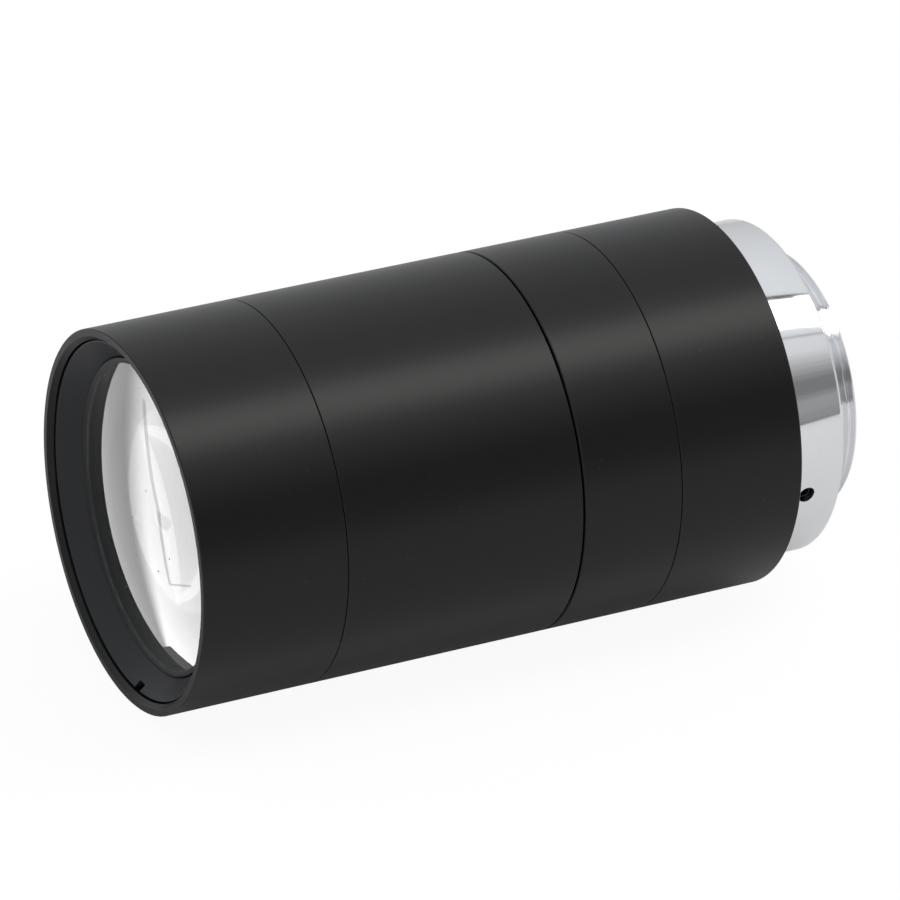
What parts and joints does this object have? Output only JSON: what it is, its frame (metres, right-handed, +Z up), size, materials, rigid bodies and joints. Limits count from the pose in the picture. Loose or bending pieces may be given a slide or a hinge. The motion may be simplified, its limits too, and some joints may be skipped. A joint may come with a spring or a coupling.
{
  "type": "cs mount varifocal lens",
  "caption": "Manual varifocal camera lens: plain black barrel with turning focus, zoom and iris rings, convex front glass and a plated, threaded CS mount.",
  "frame": {"origin": "centre of the mount flange's seat face, where the threaded nose begins", "axes": "+X along the optical axis out of the rear of the lens, towards the camera's sensor; the front glass faces -X; +Z up"},
  "size_m": [0.0707, 0.0386, 0.0366],
  "materials": {
    "black_anodised": "fine matte black anodising with a soft sheen",
    "dark_anodised": "satin dark grey anodising",
    "plated_brass": "bright turned and plated brass",
    "steel": "machined steel, lightly oiled",
    "brass": "turned brass",
    "blade_steel": "blackened spring steel",
    "glass": "polished optical glass with a thin coating"
  },
  "bodies": {
    "root": {"body_barrel": "black_anodised", "focus_snap_ring": "steel", "guide_barrel": "dark_anodised", "guide_screws": "steel", "zoom_circlip": "steel", "iris_housing": "dark_anodised", "iris_cover": "dark_anodised", "rear_holder": "black_anodised", "relay_lens_1": "glass", "relay_lens_2": "glass", "relay_lens_3": "glass", "relay_spacer": "dark_anodised", "rear_spacer": "dark_anodised", "rear_lens": "glass", "rear_retainer": "black_anodised", "mount_ring": "plated_brass", "mount_set_screws": "steel"},
    "focus_ring": {"focus_ring": "black_anodised"},
    "focus_lock": {"focus_lock_screw": "steel"},
    "front_cell": {"front_cell": "black_anodised", "trim_ring": "dark_anodised", "front_retainer": "black_anodised", "front_lens": "glass", "second_lens": "glass", "front_spacer": "dark_anodised", "third_lens": "glass", "focus_pins": "brass"},
    "zoom_ring": {"zoom_ring": "black_anodised", "cam_sleeve": "brass", "zoom_drive_pins": "steel"},
    "zoom_lock": {"zoom_lock_screw": "steel"},
    "variator": {"variator_cell": "dark_anodised", "variator_lens_1": "glass", "variator_lens_2": "glass", "variator_lens_3": "glass", "variator_retainer": "black_anodised", "variator_pins": "brass"},
    "compensator": {"compensator_cell": "dark_anodised", "compensator_lens_1": "glass", "compensator_lens_2": "glass", "compensator_retainer": "black_anodised", "compensator_pins": "brass"},
    "iris_ring": {"iris_ring": "black_anodised", "iris_actuator": "brass", "iris_drive_pin": "steel"},
    "iris_lock": {"iris_lock_screw": "steel"},
    "iris_blade_1": {"iris_blade_1": "blade_steel"},
    "iris_blade_2": {"iris_blade_2": "blade_steel"},
    "iris_blade_3": {"iris_blade_3": "blade_steel"},
    "iris_blade_4": {"iris_blade_4": "blade_steel"},
    "iris_blade_5": {"iris_blade_5": "blade_steel"},
    "iris_blade_6": {"iris_blade_6": "blade_steel"}
  },
  "joints": [
    {"name": "focus_turn", "type": "hinge", "parent": "root", "child": "focus_ring", "pos_m": [0, 0, 0], "axis": [1, 0, 0], "range_deg": [0, 100]},
    {"name": "front_cell_travel", "type": "slide", "parent": "root", "child": "front_cell", "axis": [-1, 0, 0], "range_m": [0, 0.002]},
    {"name": "zoom_turn", "type": "hinge", "parent": "root", "child": "zoom_ring", "pos_m": [0, 0, 0], "axis": [1, 0, 0], "range_deg": [0, 90]},
    {"name": "variator_travel", "type": "slide", "parent": "root", "child": "variator", "axis": [1, 0, 0], "range_m": [0, 0.00785]},
    {"name": "compensator_travel", "type": "slide", "parent": "root", "child": "compensator", "axis": [-1, 0, 0], "range_m": [0, 0.00369]},
    {"name": "iris_turn", "type": "hinge", "parent": "root", "child": "iris_ring", "pos_m": [0, 0, 0], "axis": [1, 0, 0], "range_deg": [0, 50]},
    {"name": "blade_1_swing", "type": "hinge", "parent": "root", "child": "iris_blade_1", "pos_m": [0, 0.01096, 0.00233], "axis": [1, 0, 0], "range_deg": [0, 32]},
    {"name": "blade_2_swing", "type": "hinge", "parent": "root", "child": "iris_blade_2", "pos_m": [0, 0.00346, 0.01065], "axis": [1, 0, 0], "range_deg": [0, 32]},
    {"name": "blade_3_swing", "type": "hinge", "parent": "root", "child": "iris_blade_3", "pos_m": [0, -0.00749, 0.00832], "axis": [1, 0, 0], "range_deg": [0, 32]},
    {"name": "blade_4_swing", "type": "hinge", "parent": "root", "child": "iris_blade_4", "pos_m": [0, -0.01096, -0.00233], "axis": [1, 0, 0], "range_deg": [0, 32]},
    {"name": "blade_5_swing", "type": "hinge", "parent": "root", "child": "iris_blade_5", "pos_m": [0, -0.00346, -0.01065], "axis": [1, 0, 0], "range_deg": [0, 32]},
    {"name": "blade_6_swing", "type": "hinge", "parent": "root", "child": "iris_blade_6", "pos_m": [0, 0.00749, -0.00832], "axis": [1, 0, 0], "range_deg": [0, 32]},
    {"name": "focus_lock_turn", "type": "hinge", "parent": "focus_ring", "child": "focus_lock", "pos_m": [-0.06179, 0, 0], "axis": [0, 0.878, -0.4787], "range_deg": [0, 180]},
    {"name": "zoom_lock_turn", "type": "hinge", "parent": "zoom_ring", "child": "zoom_lock", "pos_m": [-0.02452, 0, 0], "axis": [0, 0.878, -0.4787], "range_deg": [0, 180]},
    {"name": "iris_lock_turn", "type": "hinge", "parent": "iris_ring", "child": "iris_lock", "pos_m": [-0.01072, 0, 0], "axis": [0, 0.878, -0.4787], "range_deg": [0, 180]}
  ],
  "couplings": [
    {"joint": "focus_turn", "follows": "front_cell_travel", "rad_per_m": 872.66},
    {"joint": "zoom_turn", "follows": "variator_travel", "rad_per_m": 200.15},
    {"joint": "compensator_travel", "follows": "variator_travel", "ratio": 0.47059},
    {"joint": "blade_1_swing", "follows": "iris_turn", "ratio": 0.64},
    {"joint": "blade_2_swing", "follows": "iris_turn", "ratio": 0.64},
    {"joint": "blade_3_swing", "follows": "iris_turn", "ratio": 0.64},
    {"joint": "blade_4_swing", "follows": "iris_turn", "ratio": 0.64},
    {"joint": "blade_5_swing", "follows": "iris_turn", "ratio": 0.64},
    {"joint": "blade_6_swing", "follows": "iris_turn", "ratio": 0.64}
  ]
}
